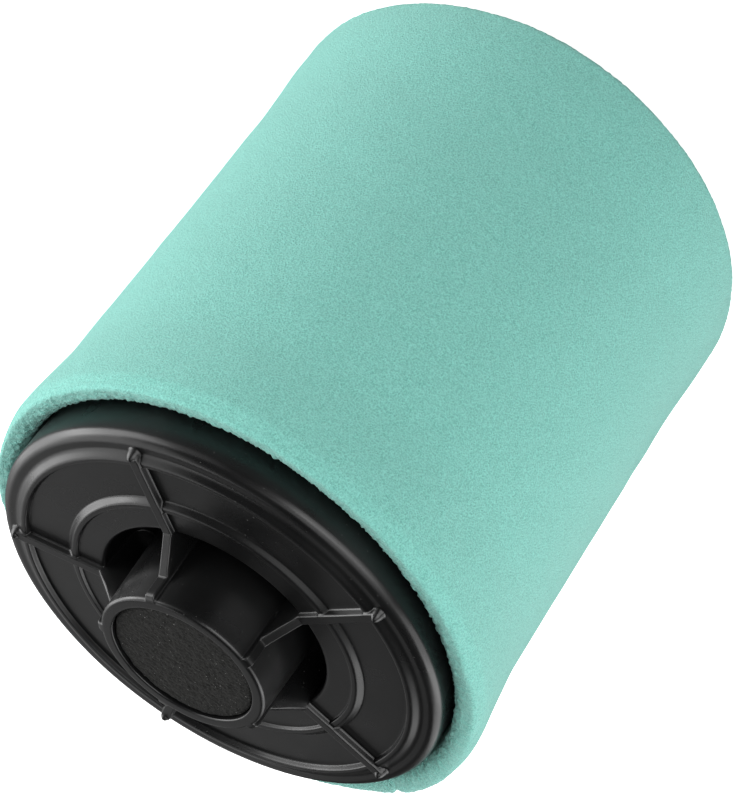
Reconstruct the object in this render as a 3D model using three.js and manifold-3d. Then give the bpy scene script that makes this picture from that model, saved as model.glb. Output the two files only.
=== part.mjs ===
// Air filter cartridge of a small engine: a pleated paper element between two moulded end caps,
// inside a pull-off foam pre-cleaner sleeve.
//
// Units are millimetres. +Z is the cartridge's axis. The origin is the centre of the open end's
// flat face, which is also the face that the cartridge stands on. The closed end is at the top.

import * as THREE from 'three';
import Module from 'manifold-3d';
import { mergeVertices } from 'three/addons/utils/BufferGeometryUtils.js';

// ---------------------------------------------------------------------------------------------
// Driving dimensions
// ---------------------------------------------------------------------------------------------

const GAP = 0.3;                    // clearance left between pieces that touch
const SEGMENTS = 48;                // flats round every turned piece
const ARC_STEPS = 2;                // straight steps in a rounded corner

const RIM_RADIUS = 52;              // widest circle of both end caps
const RIM_HEIGHT = 133;             // height of the closed cap's widest circle
const SKIRT_FOOT_RADIUS = 51.6;     // the skirts taper slightly, so that they leave the mould
const SKIRT_INNER_RADIUS = 50;
const SKIRT_DEPTH = 12;
const WALL = 2;                     // moulded wall of the caps

const DISC_HEIGHT = 134.4;          // flat disc between the two bead rings
const COLLAR_HEIGHT = 134.8;        // flat ring between the inner bead and the pocket
const BEAD_HEIGHT = 135.3;          // crest of the bead rings
const RIM_ROUNDING = 1.6;
const OUTER_BEAD = { inner: 45.1, outer: 48.1 };
const INNER_BEAD = { inner: 32.6, outer: 34.9 };

const POCKET = { radius: 26.7, footRadius: 26.3, floor: 122.6, fillet: 3, backRadius: 28.9 };
const HUB = { radius: 19.24, footRadius: 19.9, top: 147.6, boreRadius: 16.45, boreFloor: 137.6 };
const PAD_HEIGHT_BELOW_RIM = 0.4;

const RIB_COUNT = 5;
const RIB_FIRST_ANGLE = 130.5;      // degrees round +Z
const RIB_WIDTH = 2.2;
const RIB_TOP = 135.8;
const RIB_OUTER_RADIUS = 48.6;
const RIB_HUB_HEIGHT = 141.9;       // where the sloping web meets the hub
const RIB_HUB_RADIUS = 20.35;       // how far the upright rib stands out from the axis
const BOSS = { radius: 1.5, top: 136.5 };

const ELEMENT_BOTTOM = 5.3;
const ELEMENT_TOP = 129.3;
const PLEAT_COUNT = 60;
const PLEAT = { inner: 35.9, outer: 49.1, thickness: 0.8, tip: 1.1 };
const SEAM_SHEET = { inner: 41.5, outer: 46.8, offset: 0.62 };
const CLIP = { inner: 42, outer: 47.9, leg: 0.5 };

const CORE = { inner: 34, outer: 35.2, columns: 8, rows: 8, stave: 5, ring: 4 };
const SPACER = { inner: 49.85, outer: 51.6, width: 3, heights: [36, 67, 98] };

const BORE_RADIUS = 30.6;           // the open cap's bore, which holds the seal
const COLLAR_OUTER_RADIUS = 32.6;
const COLLAR_TOP = 10;
const SEAL = { radius: 29, lipRadius: 27.8, flangeTop: 11.6, lips: [2.6, 5.4, 8.2], lipWidth: 1.4 };
const POTTING_DEPTH = 2.5;

const FOAM = { inner: RIM_RADIUS + GAP, outer: 56.9, bottom: 3, top: 129.7 };
const FOAM_SEAM_ANGLE = -23;        // degrees round +Z
const FOAM_GLUE_WIDTH = 0.5;

// ---------------------------------------------------------------------------------------------
// Shape helpers
// ---------------------------------------------------------------------------------------------

const wasm = await Module();
wasm.setup();

// Turns an outline of [radius, height, rounding] corners into points. Each corner that has a
// rounding becomes an arc that touches both of its sides.
function roundedOutline(corners) {
  const points = [];
  corners.forEach(([radius, height, rounding = 0], index) => {
    const corner = new THREE.Vector2(radius, height);
    if (rounding === 0) {
      points.push(corner);
      return;
    }
    const before = new THREE.Vector2(...corners.at(index - 1).slice(0, 2)).sub(corner).normalize();
    const after = new THREE.Vector2(...corners[(index + 1) % corners.length].slice(0, 2));
    after.sub(corner).normalize();
    const half = Math.acos(before.dot(after)) / 2;
    const towardsCentre = before.clone().add(after).normalize();
    const centre = corner.clone().addScaledVector(towardsCentre, rounding / Math.sin(half));
    const start = corner.clone().addScaledVector(before, rounding / Math.tan(half)).sub(centre);
    const end = corner.clone().addScaledVector(after, rounding / Math.tan(half)).sub(centre);
    const sweep = Math.atan2(start.cross(end), start.dot(end));
    for (let step = 0; step <= ARC_STEPS; step += 1) {
      const spoke = start.clone().rotateAround(new THREE.Vector2(), (sweep * step) / ARC_STEPS);
      points.push(spoke.add(centre));
    }
  });
  return points;
}

// Spins an outline round +Z. An outline that doesn't start on the axis is closed into a ring.
// Outlines run anticlockwise, with radius to the right and height upwards.
function turned(corners, segments = SEGMENTS) {
  const points = roundedOutline(corners);
  if (points[0].x > 0) {
    points.push(points[0].clone());
  }
  return new THREE.LatheGeometry(points, segments).rotateX(Math.PI / 2);
}

// A plain ring of rectangular section.
function ring(inner, outer, bottom, top, segments = SEGMENTS) {
  return turned([[outer, bottom], [outer, top], [inner, top], [inner, bottom]], segments);
}

// Stands a flat outline, given in X and Y, up between two heights.
function prism(points, bottom, top) {
  const geometry = new THREE.ExtrudeGeometry(new THREE.Shape(points), {
    depth: top - bottom,
    bevelEnabled: false,
  });
  return geometry.translate(0, 0, bottom);
}

// Turns a closed geometry into a solid that can be cut and joined.
function toSolid(geometry) {
  const bare = geometry.clone();
  bare.deleteAttribute('normal');
  bare.deleteAttribute('uv');
  const merged = mergeVertices(bare, 1e-4);
  const mesh = new wasm.Mesh({
    numProp: 3,
    vertProperties: new Float32Array(merged.attributes.position.array),
    triVerts: new Uint32Array(merged.index.array),
  });
  return new wasm.Manifold(mesh);
}

// Turns a solid back into a geometry.
function toGeometry(solid) {
  const mesh = solid.getMesh();
  const geometry = new THREE.BufferGeometry();
  geometry.setAttribute('position', new THREE.BufferAttribute(mesh.vertProperties, 3));
  geometry.setIndex(new THREE.BufferAttribute(mesh.triVerts, 1));
  geometry.computeVertexNormals();
  return geometry;
}

// A point at a distance along and a distance beside the spoke at an angle in radians.
function besideSpoke(angle, along, beside) {
  const spoke = new THREE.Vector2(along, beside);
  return spoke.rotateAround(new THREE.Vector2(), angle);
}

// ---------------------------------------------------------------------------------------------
// Finishes
// ---------------------------------------------------------------------------------------------

const finish = (color, roughness) => new THREE.MeshStandardMaterial({ color, roughness, metalness: 0 });
const FINISHES = {
  capPlastic: finish(0x1b1c1d, 0.35),
  cagePlastic: finish(0x26282a, 0.5),
  padFoam: finish(0x3b3c3b, 0.95),
  sleeveFoam: finish(0x6fd0ae, 0.95),
  foamGlue: finish(0x9adcc4, 0.6),
  paper: finish(0xe9dfc3, 0.9),
  adhesive: finish(0xd9c79a, 0.4),
  hotMelt: finish(0xf1ead6, 0.35),
  seal: finish(0x17181a, 0.7),
};
FINISHES.clip = new THREE.MeshStandardMaterial({ color: 0xb9bcc0, roughness: 0.35, metalness: 1 });

// ---------------------------------------------------------------------------------------------
// Closed end
// ---------------------------------------------------------------------------------------------

// One rib: it runs in over the disc, slopes up across the pocket and climbs the hub.
function ribGeometry(angle) {
  const side = [
    [18.6, POCKET.floor - 0.6],
    [POCKET.backRadius - 1.6, POCKET.floor - 0.6],
    [POCKET.backRadius - 1.6, DISC_HEIGHT - 0.4],
    [RIB_OUTER_RADIUS, DISC_HEIGHT - 0.4],
    [RIB_OUTER_RADIUS, RIB_TOP],
    [POCKET.radius + 0.3, RIB_TOP],
    [RIB_HUB_RADIUS, RIB_HUB_HEIGHT],
    [RIB_HUB_RADIUS, HUB.top - 0.9],
    [RIB_HUB_RADIUS - 0.8, HUB.top - 0.3],
    [18.6, HUB.top - 0.3],
  ].map(([along, height]) => new THREE.Vector2(along, height));
  const geometry = prism(side, -RIB_WIDTH / 2, RIB_WIDTH / 2);
  return geometry.rotateX(Math.PI / 2).rotateZ(angle);
}

// The small domed boss at a rib's outer end.
function bossGeometry(angle) {
  const dome = [
    [0, DISC_HEIGHT - 0.5],
    [BOSS.radius, DISC_HEIGHT - 0.5],
    [BOSS.radius, BOSS.top, 0.9],
    [0, BOSS.top],
  ];
  return turned(dome, 12).translate(RIB_OUTER_RADIUS, 0, 0).rotateZ(angle);
}

function closedEndCap() {
  const skirtFoot = RIM_HEIGHT - SKIRT_DEPTH;
  const underPlate = DISC_HEIGHT - WALL;
  const underPocket = POCKET.floor - WALL;
  const body = turned([
    [0, HUB.boreFloor - WALL],
    [HUB.footRadius - 3.2, HUB.boreFloor - WALL, 1.2],
    [HUB.footRadius - 2.5, underPocket],
    [POCKET.backRadius, underPocket, POCKET.fillet],
    [POCKET.backRadius + 0.1, underPlate],
    [SKIRT_INNER_RADIUS, underPlate],
    [SKIRT_INNER_RADIUS + 0.1, skirtFoot],
    [SKIRT_FOOT_RADIUS, skirtFoot],
    [RIM_RADIUS, RIM_HEIGHT - 0.2],
    [RIM_RADIUS, DISC_HEIGHT + 0.1, RIM_ROUNDING - 0.1],
    [OUTER_BEAD.outer, DISC_HEIGHT + 0.1],
    [OUTER_BEAD.outer - 0.9, BEAD_HEIGHT],
    [OUTER_BEAD.inner + 0.7, BEAD_HEIGHT],
    [OUTER_BEAD.inner, DISC_HEIGHT],
    [INNER_BEAD.outer, DISC_HEIGHT],
    [INNER_BEAD.outer - 0.7, BEAD_HEIGHT],
    [INNER_BEAD.inner + 0.5, BEAD_HEIGHT],
    [INNER_BEAD.inner, COLLAR_HEIGHT],
    [POCKET.radius, COLLAR_HEIGHT, 0.5],
    [POCKET.footRadius, POCKET.floor, POCKET.fillet],
    [HUB.footRadius + 0.1, POCKET.floor, POCKET.fillet - 0.6],
    [HUB.radius, HUB.top, 0.7],
    [HUB.boreRadius, HUB.top],
    [HUB.boreRadius, HUB.boreFloor],
    [0, HUB.boreFloor],
  ]);
  let solid = toSolid(body);
  for (let index = 0; index < RIB_COUNT; index += 1) {
    const angle = THREE.MathUtils.degToRad(RIB_FIRST_ANGLE - (360 / RIB_COUNT) * index);
    solid = solid.add(toSolid(ribGeometry(angle)));
    solid = solid.add(toSolid(bossGeometry(angle)));
  }
  return toGeometry(solid);
}

function hubFoamPad() {
  const radius = HUB.boreRadius - GAP;
  const top = HUB.top - PAD_HEIGHT_BELOW_RIM;
  const bottom = HUB.boreFloor + GAP;
  return turned([[0, bottom], [radius, bottom], [radius, top, 0.6], [0, top]], 36);
}

function closedEndPotting() {
  const top = DISC_HEIGHT - WALL - GAP;
  const inner = POCKET.backRadius + 0.1 + GAP;
  return ring(inner, SKIRT_INNER_RADIUS - GAP, top - POTTING_DEPTH, top);
}

// ---------------------------------------------------------------------------------------------
// Filter element
// ---------------------------------------------------------------------------------------------

// The middle line of the folded sheet, from one end of the sheet round to the other. Every fold
// has a small flat tip. The two ends stand side by side at angle 0, where the clip holds them.
function pleatMiddleLine() {
  const pitch = (2 * Math.PI) / PLEAT_COUNT;
  const half = PLEAT.tip / 2;
  const line = [
    besideSpoke(0, SEAM_SHEET.outer, SEAM_SHEET.offset),
    besideSpoke(0, SEAM_SHEET.inner, SEAM_SHEET.offset),
  ];
  for (let index = 0; index < PLEAT_COUNT; index += 1) {
    const innerFold = (index + 0.5) * pitch;
    line.push(besideSpoke(innerFold, PLEAT.inner, -half), besideSpoke(innerFold, PLEAT.inner, half));
    if (index < PLEAT_COUNT - 1) {
      const outerFold = (index + 1) * pitch;
      line.push(besideSpoke(outerFold, PLEAT.outer, -half), besideSpoke(outerFold, PLEAT.outer, half));
    }
  }
  line.push(besideSpoke(0, SEAM_SHEET.inner, -SEAM_SHEET.offset));
  line.push(besideSpoke(0, SEAM_SHEET.outer, -SEAM_SHEET.offset));
  return line;
}

// Moves an open line sideways by a distance, with mitred corners.
function offsetLine(line, distance) {
  const normalTo = (from, to) => {
    const along = to.clone().sub(from).normalize();
    return new THREE.Vector2(along.y, -along.x);
  };
  return line.map((point, index) => {
    const before = index > 0 ? normalTo(line[index - 1], point) : normalTo(point, line[1]);
    const after = index < line.length - 1 ? normalTo(point, line[index + 1]) : before;
    const mitre = before.clone().add(after).normalize();
    return point.clone().addScaledVector(mitre, distance / mitre.dot(after));
  });
}

function pleatedPaper() {
  const line = pleatMiddleLine();
  const outside = offsetLine(line, PLEAT.thickness / 2);
  const inside = offsetLine(line, -PLEAT.thickness / 2);
  return prism([...outside, ...inside.reverse()], ELEMENT_BOTTOM, ELEMENT_TOP);
}

// A folded metal strip over the two ends of the paper, open towards the axis.
function pleatSeamClip() {
  const mouth = SEAM_SHEET.offset + PLEAT.thickness / 2 + GAP;
  const side = mouth + CLIP.leg;
  const outline = [
    [CLIP.inner, -side],
    [CLIP.outer, -side],
    [CLIP.outer, side],
    [CLIP.inner, side],
    [CLIP.inner, mouth],
    [CLIP.outer - CLIP.leg, mouth],
    [CLIP.outer - CLIP.leg, -mouth],
    [CLIP.inner, -mouth],
  ].map(([along, beside]) => new THREE.Vector2(along, beside));
  return prism(outline, ELEMENT_BOTTOM, ELEMENT_TOP);
}

// The cage that keeps the pleats from being sucked in: a tube with rows of windows. Each cutter
// goes right through the axis, so it opens two windows that face each other.
function supportCore() {
  const height = ELEMENT_TOP - ELEMENT_BOTTOM;
  const rowPitch = (height - CORE.ring) / CORE.rows;
  const windowHeight = rowPitch - CORE.ring;
  const columnAngle = (2 * Math.PI) / CORE.columns;
  const windowWidth = 2 * CORE.inner * Math.sin(columnAngle / 2) - CORE.stave;
  let solid = toSolid(ring(CORE.inner, CORE.outer, ELEMENT_BOTTOM, ELEMENT_TOP, 5 * CORE.columns));
  for (let row = 0; row < CORE.rows; row += 1) {
    const middle = ELEMENT_BOTTOM + CORE.ring + rowPitch * row + windowHeight / 2;
    for (let column = 0; column < CORE.columns / 2; column += 1) {
      const cutter = new THREE.BoxGeometry(3 * CORE.outer, windowWidth, windowHeight);
      cutter.rotateZ(columnAngle * (column + 0.5)).translate(0, 0, middle);
      solid = solid.subtract(toSolid(cutter));
    }
  }
  return toGeometry(solid);
}

// A line of hot-melt glue wound once round the pleat tips, which keeps them evenly spaced.
function spacerBead(middle) {
  const half = SPACER.width / 2;
  return turned([
    [SPACER.inner, middle - half],
    [SPACER.outer, middle - half / 2],
    [SPACER.outer, middle + half / 2],
    [SPACER.inner, middle + half],
  ]);
}

// ---------------------------------------------------------------------------------------------
// Open end
// ---------------------------------------------------------------------------------------------

function openEndCap() {
  return turned([
    [BORE_RADIUS, 0],
    [RIM_RADIUS, 0, RIM_ROUNDING],
    [SKIRT_FOOT_RADIUS, SKIRT_DEPTH],
    [SKIRT_INNER_RADIUS, SKIRT_DEPTH],
    [SKIRT_INNER_RADIUS, WALL],
    [COLLAR_OUTER_RADIUS, WALL],
    [COLLAR_OUTER_RADIUS, COLLAR_TOP],
    [BORE_RADIUS, COLLAR_TOP],
  ]);
}

function openEndPotting() {
  const bottom = WALL + GAP;
  const inner = COLLAR_OUTER_RADIUS + GAP;
  return ring(inner, SKIRT_INNER_RADIUS - GAP, bottom, bottom + POTTING_DEPTH);
}

// The rubber ring in the open cap's bore. Its flange hooks over the collar, and its lips grip
// the engine's outlet tube.
function outletSeal() {
  const outer = BORE_RADIUS - GAP;
  const lips = [...SEAL.lips].reverse().flatMap((height) => [
    [SEAL.radius, height + SEAL.lipWidth / 2],
    [SEAL.lipRadius, height],
    [SEAL.radius, height - SEAL.lipWidth / 2],
  ]);
  return turned([
    [outer, GAP],
    [outer, COLLAR_TOP + GAP],
    [COLLAR_OUTER_RADIUS, COLLAR_TOP + GAP],
    [COLLAR_OUTER_RADIUS, SEAL.flangeTop],
    [SEAL.radius, SEAL.flangeTop],
    ...lips,
    [SEAL.radius, GAP],
  ], 40);
}

// ---------------------------------------------------------------------------------------------
// Foam sleeve
// ---------------------------------------------------------------------------------------------

// A flat strip of foam bent into a tube. Its two ends face each other across the glue line.
function foamSleeve() {
  const slit = FOAM_GLUE_WIDTH / 2 + GAP;
  const arc = (radius) => {
    const start = Math.asin(slit / radius);
    const sweep = 2 * Math.PI - 2 * start;
    return Array.from({ length: SEGMENTS + 1 }, (_, step) => (
      besideSpoke(start + (sweep * step) / SEGMENTS, radius, 0)
    ));
  };
  return prism([...arc(FOAM.outer), ...arc(FOAM.inner).reverse()], FOAM.bottom, FOAM.top);
}

function foamSleeveSeam() {
  const geometry = new THREE.BoxGeometry(FOAM.outer - FOAM.inner, FOAM_GLUE_WIDTH, FOAM.top - FOAM.bottom);
  return geometry.translate((FOAM.outer + FOAM.inner) / 2, 0, (FOAM.top + FOAM.bottom) / 2);
}

// ---------------------------------------------------------------------------------------------
// Assembly
// ---------------------------------------------------------------------------------------------

function piece(name, geometry, material) {
  const mesh = new THREE.Mesh(geometry, material);
  mesh.name = name;
  return mesh;
}

const closedEnd = new THREE.Group();
closedEnd.add(
  piece('closed_end_cap', closedEndCap(), FINISHES.capPlastic),
  piece('hub_foam_pad', hubFoamPad(), FINISHES.padFoam),
  piece('closed_end_potting', closedEndPotting(), FINISHES.adhesive),
);

const element = new THREE.Group();
element.rotation.z = Math.PI;       // the paper's seam is on the far side from the sleeve's
element.add(
  piece('pleated_paper', pleatedPaper(), FINISHES.paper),
  piece('pleat_seam_clip', pleatSeamClip(), FINISHES.clip),
  piece('support_core', supportCore(), FINISHES.cagePlastic),
);
SPACER.heights.forEach((height, index) => {
  element.add(piece(`pleat_spacer_bead_${index + 1}`, spacerBead(height), FINISHES.hotMelt));
});

const openEnd = new THREE.Group();
openEnd.add(
  piece('open_end_cap', openEndCap(), FINISHES.capPlastic),
  piece('open_end_potting', openEndPotting(), FINISHES.adhesive),
  piece('outlet_seal', outletSeal(), FINISHES.seal),
);

const preCleaner = new THREE.Group();
preCleaner.rotation.z = THREE.MathUtils.degToRad(FOAM_SEAM_ANGLE);
preCleaner.add(
  piece('foam_sleeve', foamSleeve(), FINISHES.sleeveFoam),
  piece('foam_sleeve_seam', foamSleeveSeam(), FINISHES.foamGlue),
);

const cartridge = new THREE.Group();
cartridge.add(closedEnd, element, openEnd, preCleaner);

export default cartridge;
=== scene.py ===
"""Looks of a round air filter cartridge with a pull-off foam pre-cleaner sleeve.

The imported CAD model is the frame: +Z is the cartridge's axis and z = 0 is the open end's face.
Sizes in the classes are millimetres and degrees; meshes are handed to Blender in metres. Each
sub-assembly is a class that works out its surfaces with numpy and gives them their finishes.
"""

import logging
import math
from dataclasses import dataclass, field
from enum import Enum
from typing import Callable

import bpy
import numpy as np
from mathutils import Matrix, Vector


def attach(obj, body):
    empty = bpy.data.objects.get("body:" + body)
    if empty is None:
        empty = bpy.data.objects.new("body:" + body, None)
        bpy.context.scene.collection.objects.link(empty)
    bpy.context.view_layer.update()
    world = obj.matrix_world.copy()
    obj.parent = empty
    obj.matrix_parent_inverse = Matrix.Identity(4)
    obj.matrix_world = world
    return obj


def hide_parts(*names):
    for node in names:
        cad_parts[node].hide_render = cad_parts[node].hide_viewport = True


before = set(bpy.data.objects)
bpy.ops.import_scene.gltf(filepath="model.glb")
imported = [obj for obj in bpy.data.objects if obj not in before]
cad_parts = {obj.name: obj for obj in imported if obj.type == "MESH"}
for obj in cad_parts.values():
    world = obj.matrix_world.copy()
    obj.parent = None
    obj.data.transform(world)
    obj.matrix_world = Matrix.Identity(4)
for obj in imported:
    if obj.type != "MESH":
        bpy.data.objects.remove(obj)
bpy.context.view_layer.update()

logging.basicConfig(level=logging.INFO, format="%(name)s: %(message)s")
log = logging.getLogger("cartridge")

MM = 0.001
TURN = 2 * math.pi

Array = np.ndarray
Corner = tuple[float, float, float]
Colour = tuple[float, float, float]
Value = object


class Body(Enum):
    """The CAD bodies that pieces ride on."""

    CARTRIDGE = "cartridge"
    PRE_CLEANER = "pre_cleaner"


class Slot(Enum):
    """The record's material slots."""

    CAP_PLASTIC = "cap_plastic"
    CAGE_PLASTIC = "cage_plastic"
    PAD_FOAM = "pad_foam"
    SLEEVE_FOAM = "sleeve_foam"
    FOAM_GLUE = "foam_glue"
    FILTER_PAPER = "filter_paper"
    POTTING = "potting_adhesive"
    HOT_MELT = "hot_melt"
    CLIP_STEEL = "clip_steel"
    SEAL_RUBBER = "seal_rubber"


# ---------------------------------------------------------------------------------------------
# Numbers
# ---------------------------------------------------------------------------------------------


def smoothstep(low: float, high: float, value: Array) -> Array:
    """An S-curve that is 0 at low and 1 at high.

    Args:
        low: Where the curve starts.
        high: Where the curve ends. It may be less than low, for a falling curve.
        value: The places to work it out at.

    Returns:
        3t^2 - 2t^3, where t is the share of the way from low to high, held between 0 and 1.
    """
    share = np.clip((value - low) / (high - low), 0.0, 1.0)
    return share * share * (3.0 - 2.0 * share)


def lattice_noise(points: Array, cell: float, seed: int) -> Array:
    """Smooth value noise: random numbers on a cubic lattice, blended between its corners.

    Args:
        points: Places, with x, y and z in the last axis.
        cell: The lattice's pitch, in the unit of the places.
        seed: Chooses the random numbers.

    Returns:
        One value from -1 to 1 for each place.
    """
    table = np.random.default_rng(seed).uniform(-1.0, 1.0, 4096)
    scaled = points / cell
    base = np.floor(scaled).astype(np.int64)
    part = scaled - base
    part = part * part * (3.0 - 2.0 * part)
    total = np.zeros(points.shape[:-1])
    for corner in range(8):
        step = np.array([corner & 1, (corner >> 1) & 1, (corner >> 2) & 1])
        key = base + step
        mixed = key[..., 0] * 73856093 ^ key[..., 1] * 19349663 ^ key[..., 2] * 83492791
        total += table[mixed & 4095] * np.prod(np.where(step == 1, part, 1.0 - part), axis=-1)
    return total


# ---------------------------------------------------------------------------------------------
# Surfaces
# ---------------------------------------------------------------------------------------------


def rounded_outline(corners: list[Corner], steps: int = 6) -> Array:
    """An outline of straight stretches whose corners are arcs that touch both of their sides.

    Args:
        corners: (radius, height, rounding) of each corner, anticlockwise.
        steps: Straight steps in each arc.

    Returns:
        The outline's points, (count, 2).
    """
    places = np.array([corner[:2] for corner in corners], float)
    points: list[Array] = []
    for index, place in enumerate(places):
        rounding = corners[index][2]
        if rounding == 0:
            points.append(place[None, :])
            continue
        before = places[index - 1] - place
        after = places[(index + 1) % len(places)] - place
        before /= np.linalg.norm(before)
        after /= np.linalg.norm(after)
        half = math.acos(float(np.clip(before @ after, -1.0, 1.0))) / 2
        bisector = (before + after) / np.linalg.norm(before + after)
        centre = place + bisector * rounding / math.sin(half)
        start = place + before * rounding / math.tan(half) - centre
        end = place + after * rounding / math.tan(half) - centre
        sweep = math.atan2(start[0] * end[1] - start[1] * end[0], start @ end)
        angles = np.linspace(0.0, sweep, steps + 1)[:, None]
        quarter = np.array([-start[1], start[0]])
        points.append(centre + start * np.cos(angles) + quarter * np.sin(angles))
    return np.concatenate(points)


def densified(outline: Array, longest: Callable[[Array], Array], closed: bool) -> Array:
    """Divides an outline's stretches evenly, so that no step is too long.

    Args:
        outline: Points, (count, 2).
        longest: Gives the longest step allowed at each of the places it is handed.
        closed: Whether the last point joins the first.

    Returns:
        The outline with its extra points.
    """
    ends = np.concatenate([outline, outline[:1]]) if closed else outline
    stretches = np.diff(ends, axis=0)
    lengths = np.linalg.norm(stretches, axis=1)
    counts = np.maximum(1, np.ceil(lengths / longest((ends[:-1] + ends[1:]) / 2))).astype(int)
    owner = np.repeat(np.arange(len(counts)), counts)
    first = np.concatenate([[0], np.cumsum(counts)[:-1]])
    share = (np.arange(len(owner)) - first[owner]) / counts[owner]
    points = ends[owner] + stretches[owner] * share[:, None]
    return points if closed else np.concatenate([points, outline[-1:]])


def spun(radius: Array, height: Array, angle: Array) -> Array:
    """Points of a turned surface: x = radius cos angle, y = radius sin angle, z = height.

    Args:
        radius: Distance from the axis.
        height: Height, of a shape that goes with the radius.
        angle: Angle round the axis in radians.

    Returns:
        The three spread over each other, with x, y and z in a last axis.
    """
    return np.stack(
        np.broadcast_arrays(radius * np.cos(angle), radius * np.sin(angle), height), axis=-1
    )


def mesh_piece(name: str, points: Array, *face_sets: Array) -> bpy.types.Object:
    """Makes a smooth-shaded object from points and faces, at the origin.

    Args:
        name: The piece's name.
        points: Places in millimetres, (count, 3).
        *face_sets: Faces as whole arrays of point numbers, (count, corners).

    Returns:
        The new object.
    """
    corners = np.concatenate([faces.ravel() for faces in face_sets])
    sizes = np.concatenate([np.full(len(faces), faces.shape[1]) for faces in face_sets])
    mesh = bpy.data.meshes.new(name)
    mesh.vertices.add(len(points))
    mesh.vertices.foreach_set("co", (points * MM).ravel())
    mesh.loops.add(len(corners))
    mesh.loops.foreach_set("vertex_index", corners)
    mesh.polygons.add(len(sizes))
    mesh.polygons.foreach_set("loop_start", np.concatenate([[0], np.cumsum(sizes)[:-1]]))
    mesh.update(calc_edges=True)
    mesh.validate()
    mesh.shade_smooth()
    piece = bpy.data.objects.new(name, mesh)
    bpy.context.scene.collection.objects.link(piece)
    return piece


class Ends(Enum):
    """What closes the first and last rows of a grid whose columns run all the way round."""

    JOINED = "the last row meets the first"
    POLES = "each end row is a single point"
    STRIPS = "each end row is a thin loop, filled between its two long sides"


def grid_piece(name: str, grid: Array, ends: Ends) -> bpy.types.Object:
    """Makes a closed mesh from a grid of points.

    A column step crossed with a row step points outwards. So on a turned piece the columns turn
    anticlockwise seen from above, and the rows follow the outline anticlockwise.

    Args:
        name: The piece's name.
        grid: Points in millimetres, (rows, columns, 3).
        ends: How the end rows are closed.

    Returns:
        The new object.
    """
    poles = grid[[0, -1], 0]
    if ends is Ends.POLES:
        grid = grid[1:-1]
    rows, columns = grid.shape[:2]
    points = grid.reshape(-1, 3)
    here = np.arange(rows * columns).reshape(rows, columns)
    beside = np.roll(here, -1, axis=1)
    last = rows if ends is Ends.JOINED else rows - 1
    above, above_beside = np.roll(here, -1, axis=0), np.roll(beside, -1, axis=0)
    quads = np.stack([here, beside, above_beside, above], axis=-1)[:last].reshape(-1, 4)
    if ends is Ends.JOINED:
        return mesh_piece(name, points, quads)
    if ends is Ends.POLES:
        points = np.concatenate([points, poles])
        first_pole = np.full(columns, len(points) - 2)
        start = np.stack([first_pole, beside[0], here[0]], axis=-1)
        finish = np.stack([here[-1], beside[-1], first_pole + 1], axis=-1)
        return mesh_piece(name, points, quads, start, finish)
    half = columns // 2
    out, back = here[:, :half], here[:, : half - 1 : -1]
    strips = np.stack([out[:, :-1], back[:, :-1], back[:, 1:], out[:, 1:]], axis=-1)
    return mesh_piece(name, points, quads, strips[0], strips[-1][:, ::-1])


def turned_piece(
    name: str, corners: list[Corner], columns: int, longest: float = 4.0, steps: int = 6
) -> bpy.types.Object:
    """Makes a plain turned piece from its outline.

    Args:
        name: The piece's name.
        corners: The outline's corners, as rounded_outline takes them.
        columns: Points round the axis.
        longest: The longest step along the outline.
        steps: Straight steps in each rounded corner.

    Returns:
        The new object.
    """
    solid = corners[0][0] == 0
    outline = rounded_outline(corners, steps)
    outline = densified(outline, lambda at: np.full(len(at), longest), closed=not solid)
    angle = np.arange(columns) * TURN / columns
    grid = spun(outline[:, :1], outline[:, 1:], angle)
    return grid_piece(name, grid, Ends.POLES if solid else Ends.JOINED)


def settle(
    piece: bpy.types.Object, body: Body, slot: Slot, material: bpy.types.Material, *nodes: str
) -> bpy.types.Object:
    """Dresses a finished piece and hands it to the frame.

    Args:
        piece: The new piece.
        body: The CAD body that it rides on.
        slot: The record's material slot of its finish. Not used.
        material: Its material.
        *nodes: The CAD nodes that it stands for.

    Returns:
        The same piece.
    """
    piece.data.materials.append(material)
    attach(piece, body.value)
    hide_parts(*nodes)
    log.info("%s: %d faces", piece.name, len(piece.data.polygons))
    return piece


def redress(node: str, material: bpy.types.Material) -> None:
    """Gives a CAD node that stays in view its finished material.

    Args:
        node: The node's name.
        material: The material to show it in.
    """
    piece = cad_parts[node]
    piece.data.materials.clear()
    piece.data.materials.append(material)
    log.info("%s: kept from the frame", node)


# ---------------------------------------------------------------------------------------------
# Shader building
# ---------------------------------------------------------------------------------------------


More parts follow.
